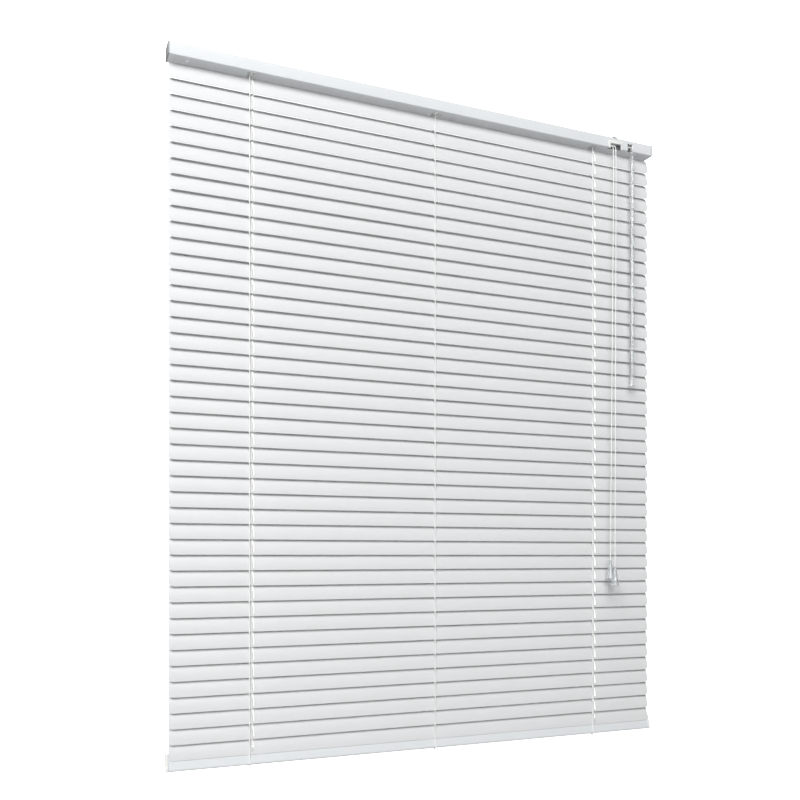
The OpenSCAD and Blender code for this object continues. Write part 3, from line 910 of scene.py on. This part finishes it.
class BLIND_OT_headrail(Operator):
    """The folded sheet channel with its cut openings, and its end caps"""

    bl_idname = "blind.headrail"
    bl_label = "Headrail"

    def execute(self, context):
        sizes = context.scene.blind_sizes
        mesh = cut("headrail_channel", self.channel(sizes), self.openings(sizes), 30.0)
        piece("headrail_channel", mesh, "paint", "root", ("headrail",))
        # The end caps take the dark grey finish: painted shade on white plastic
        eased_node("headrail_end_caps", 0.5, "cap_plastic", "root")
        return {"FINISHED"}

    def channel(self, sizes):
        """A strip of sheet folded along its length, with rounded folds."""
        gauge, fold = sizes.sheet, 1.1
        side = HEAD_D / 2
        turns = ((-side, HEAD_H, 90), (-side, 0, 180), (side, 0, 270), (side, HEAD_H, 0))
        outer, inner = [(-side + sizes.lip, HEAD_H)], [(-side + sizes.lip, HEAD_H - gauge)]
        for y, z, start in turns:
            centre = (y - math.copysign(fold, y), z + (fold if z == 0 else -fold))
            outer += arc(centre, fold, start, start + 90, 6)
            inner += arc(centre, fold - gauge, start, start + 90, 6)
        outer.append((side - sizes.lip, HEAD_H))
        inner.append((side - sizes.lip, HEAD_H - gauge))
        outline = outer + inner[::-1]
        return prism("channel", outline, -HEAD_W / 2, HEAD_W / 2, "X")

    def openings(self, sizes):
        """Cutters for the ladder holes, the fixing holes and the two openings of the controls."""
        below, above = -2, 3
        ladder_hole, off_ladder = round_rect(15, 14.4, 2), 3.9
        cutters = []
        for x in LADDERS:
            outline = [(x + off_ladder + u, v) for u, v in ladder_hole]
            cutters.append(prism("hole", outline, below, above))
        fixing_x = frame["record"]["mounts"][0]["dims"]["spacing_x_mm"] / 2
        fixing_hole = arc((0, 0), 2.5, 0, 348.75, 31)
        for s in (-1, 1):
            outline = [(s * fixing_x + u, v) for u, v in fixing_hole]
            cutters.append(prism("fixing", outline, below, above))
        face, past = -HEAD_D / 2, 2
        for x, width, high, deep in ((LOCK_X, 24.0, 7.5, 7.0), (TILTER_X, 11.4, 12.0, 4.0)):
            outline = [(face - past, -past), (face + deep, -past), (face + deep, past),
                       (face + past, past), (face + past, high), (face - past, high)]
            cutters.append(prism("opening", outline, x - width / 2, x + width / 2, "X"))
        return cutters


class BLIND_OT_gear(Operator):
    """Cradles, drums, rod, worm gear and cord lock"""

    bl_idname = "blind.gear"
    bl_label = "Tilt gear and cord lock"

    def execute(self, context):
        eased_node("drum_cradles", 0.3, "white_plastic", "root")
        eased_node("tilter_housing", 0.25, "white_plastic", "root")
        eased_node("tilt_drums", 0.2, "white_plastic", "tilt_rod")
        self.cord_lock()
        for node in ("tilt_rod", "worm_wheel", "worm_shaft"):
            found = frame["nodes"][node]
            found.data.materials.clear()
            found.data.materials.append(finishes()["zinc"])
        self.clip()
        return {"FINISHED"}

    def cord_lock(self):
        """A white frame round the opening, and behind it the plated body with its roller; the body's darker plated
        finish is a real zinc part and also painted shade for the recess behind the opening.
        """
        whole = eased("cord_lock_eased", frame["nodes"]["cord_lock"].data, 0.3)
        past = Vector((5, 5, 5))
        low, high = box_mm("cord_lock")
        low, high = low - past, high + past
        # Everything behind the front face gets the darker zinc: the real plated body, and painted shade inside the
        # opening
        seam = -HEAD_D / 2 + 0.05
        for name, slot, start, end in (
            ("cord_lock_frame", "white_plastic", seam, high.y),
            ("cord_lock_body", "zinc", low.y, seam),
        ):
            outline = [(start, low.z), (end, low.z), (end, high.z), (start, high.z)]
            rest = prism("rest", outline, low.x, high.x, "X")
            mesh = cut(name, whole, [rest], 30.0)
            mesh.materials.clear()
            piece(name, mesh, slot, "root", ("cord_lock",))

    def clip(self):
        """The steel tongue that hooks the cord lock over the channel's front lip."""
        y, half_gauge, half_width = -HEAD_D / 2, 0.2, 4.5
        route = [(y + 3.4, HEAD_H - 4.5), (y + 3.0, HEAD_H - 1.2), (y + 2.9, HEAD_H + 0.7),
                 (y + 1.6, HEAD_H + 1.5), (y + 0.3, HEAD_H + 0.9)]
        path = smooth_path([(0, u, v) for u, v in route], 0.5)
        outer, inner = [], []
        for i, p in enumerate(path):
            ahead = (path[min(i + 1, len(path) - 1)] - path[max(i - 1, 0)]).normalized()
            normal = Vector((0, -ahead.z, ahead.y))
            outer.append((p.y + half_gauge * normal.y, p.z + half_gauge * normal.z))
            inner.append((p.y - half_gauge * normal.y, p.z - half_gauge * normal.z))
        mesh = prism("clip", outer + inner[::-1], LOCK_X - half_width, LOCK_X + half_width, "X")
        piece("cord_lock_clip", mesh, "zinc", "root")


class BLIND_OT_wand(Operator):
    """Clear six-sided wand with a hook at the top and a turned grip at the tip"""

    bl_idname = "blind.wand"
    bl_label = "Wand"

    def execute(self, context):
        top, tip = WAND_HIGH.z, WAND_LOW.z
        eye = 2.4
        ring_z = top - eye - 0.6
        rod_top = ring_z - eye - 7
        meshes = [self.rod(rod_top + 1.5, tip + 12), self.grip(tip), self.neck(ring_z - eye, rod_top)]
        ring = [Vector((0, u, v)) for u, v in arc((0, ring_z), eye, -88, 268, 40)]
        meshes.append(tube("hook", ring, 0.6, 12))
        mesh = joined("wand", meshes, 32.0)
        at = Matrix.Translation(Vector((TILTER_X, WAND_Y, 0)) * MM)
        piece("wand_clear", mesh, "clear_plastic", "wand", ("tilt_wand",), at)
        return {"FINISHED"}

    def rod(self, top, foot):
        """Six flats with softened corners, and a small chamfer at the top end."""
        corner = 3.5

        def section(scale, z):
            points = []
            for k in range(6):
                for off in (-7, 0, 7):
                    a = math.radians(60 * k + off)
                    r = corner * scale * (0.965 if off else 0.98)
                    points.append((r * math.cos(a), r * math.sin(a), z))
            return points

        levels = [(0.72, top), (0.97, top - 1.0)]
        levels += [(1.0, top - 1.4 + (foot - top + 1.4) * i / 30) for i in range(31)]
        points = [p for scale, z in levels for p in section(scale, z)]
        return mesh_of("rod", points, ring_faces(len(levels), 18), 25.0)

    def grip(self, tip):
        """A round sleeve over the end, waisted and domed."""
        profile = [(0.0, 0.0), (2.2, 0.1), (3.6, 0.6), (4.2, 1.5), (4.35, 3.0), (4.0, 5.0), (3.95, 7.0),
                   (4.3, 9.2), (4.35, 10.6), (4.1, 11.6), (3.5, 12.4), (2.8, 12.6), (0.0, 12.6)]
        return lathe("grip", [(max(r, 0.001), tip + z) for r, z in profile], 40, 50.0)

    def neck(self, top, foot):
        """A short round neck between the hook and the rod."""
        profile = [(0.001, foot - 0.5), (3.0, foot - 0.5), (3.05, foot + 0.4), (2.4, foot + 1.5),
                   (1.7, foot + 3.0), (1.5, foot + 5.2), (1.2, top - 0.2), (0.7, top + 0.3),
                   (0.001, top + 0.4)]
        return lathe("neck", profile, 32, 50.0)


class BLIND_OT_bottom_rail(Operator):
    """The bottom rail's tube and its end caps"""

    bl_idname = "blind.bottom_rail"
    bl_label = "Bottom rail"

    def execute(self, context):
        sizes = context.scene.blind_sizes
        outline = round_rect(sizes.foot_width, sizes.foot_depth, 3.0, 8)
        mesh = prism("bottom_rail_tube", outline, -HEAD_W / 2, HEAD_W / 2, "X", 30.0)
        piece("bottom_rail_tube", mesh, "paint", "rail", ("bottom_rail",), tilted(FOOT_Z))
        self.caps(sizes)
        return {"FINISHED"}

    def caps(self, sizes):
        """Rounded covers that stand a little proud of the tube."""
        outline = round_rect(sizes.foot_width + 0.8, sizes.foot_depth + 0.8, 3.4, 8)
        reach = box_mm("bottom_rail_end_caps")[1].x
        meshes = []
        for s in (-1, 1):
            low, high = sorted((s * HEAD_W / 2, s * reach))
            meshes.append(prism("cap", outline, low, high, "X"))
        mesh = eased("bottom_rail_caps", joined("bottom_rail_caps", meshes), 0.9, 4)
        piece("bottom_rail_caps", mesh, "white_plastic", "rail", ("bottom_rail_end_caps",), tilted(FOOT_Z))


class BLIND_PT_panel(Panel):
    """Lists the steps in the order they are run"""

    bl_label = "Venetian blind"
    bl_space_type = "VIEW_3D"
    bl_region_type = "UI"
    bl_category = "Blind"

    def draw(self, context):
        for step in STEPS:
            self.layout.operator(step.bl_idname)


STEPS = (
    BLIND_OT_stage,
    BLIND_OT_pull_cords,
    BLIND_OT_held_cords,
    BLIND_OT_slats,
    BLIND_OT_ladders,
    BLIND_OT_headrail,
    BLIND_OT_gear,
    BLIND_OT_wand,
    BLIND_OT_bottom_rail,
)
CLASSES = (BlindSizes, BlindColours, *STEPS, BLIND_PT_panel)


def register():
    for item in CLASSES:
        bpy.utils.register_class(item)
    bpy.types.Scene.blind_sizes = PointerProperty(type=BlindSizes)
    bpy.types.Scene.blind_colours = PointerProperty(type=BlindColours)


def unregister():
    del bpy.types.Scene.blind_colours
    del bpy.types.Scene.blind_sizes
    for item in reversed(CLASSES):
        bpy.utils.unregister_class(item)


def main():
    register()
    bpy.ops.blind.stage()
    bpy.ops.blind.pull_cords()
    bpy.ops.blind.held_cords()
    bpy.ops.blind.slats()
    bpy.ops.blind.ladders()
    bpy.ops.blind.headrail()
    bpy.ops.blind.gear()
    bpy.ops.blind.wand()
    bpy.ops.blind.bottom_rail()


if __name__ == "__main__":
    main()
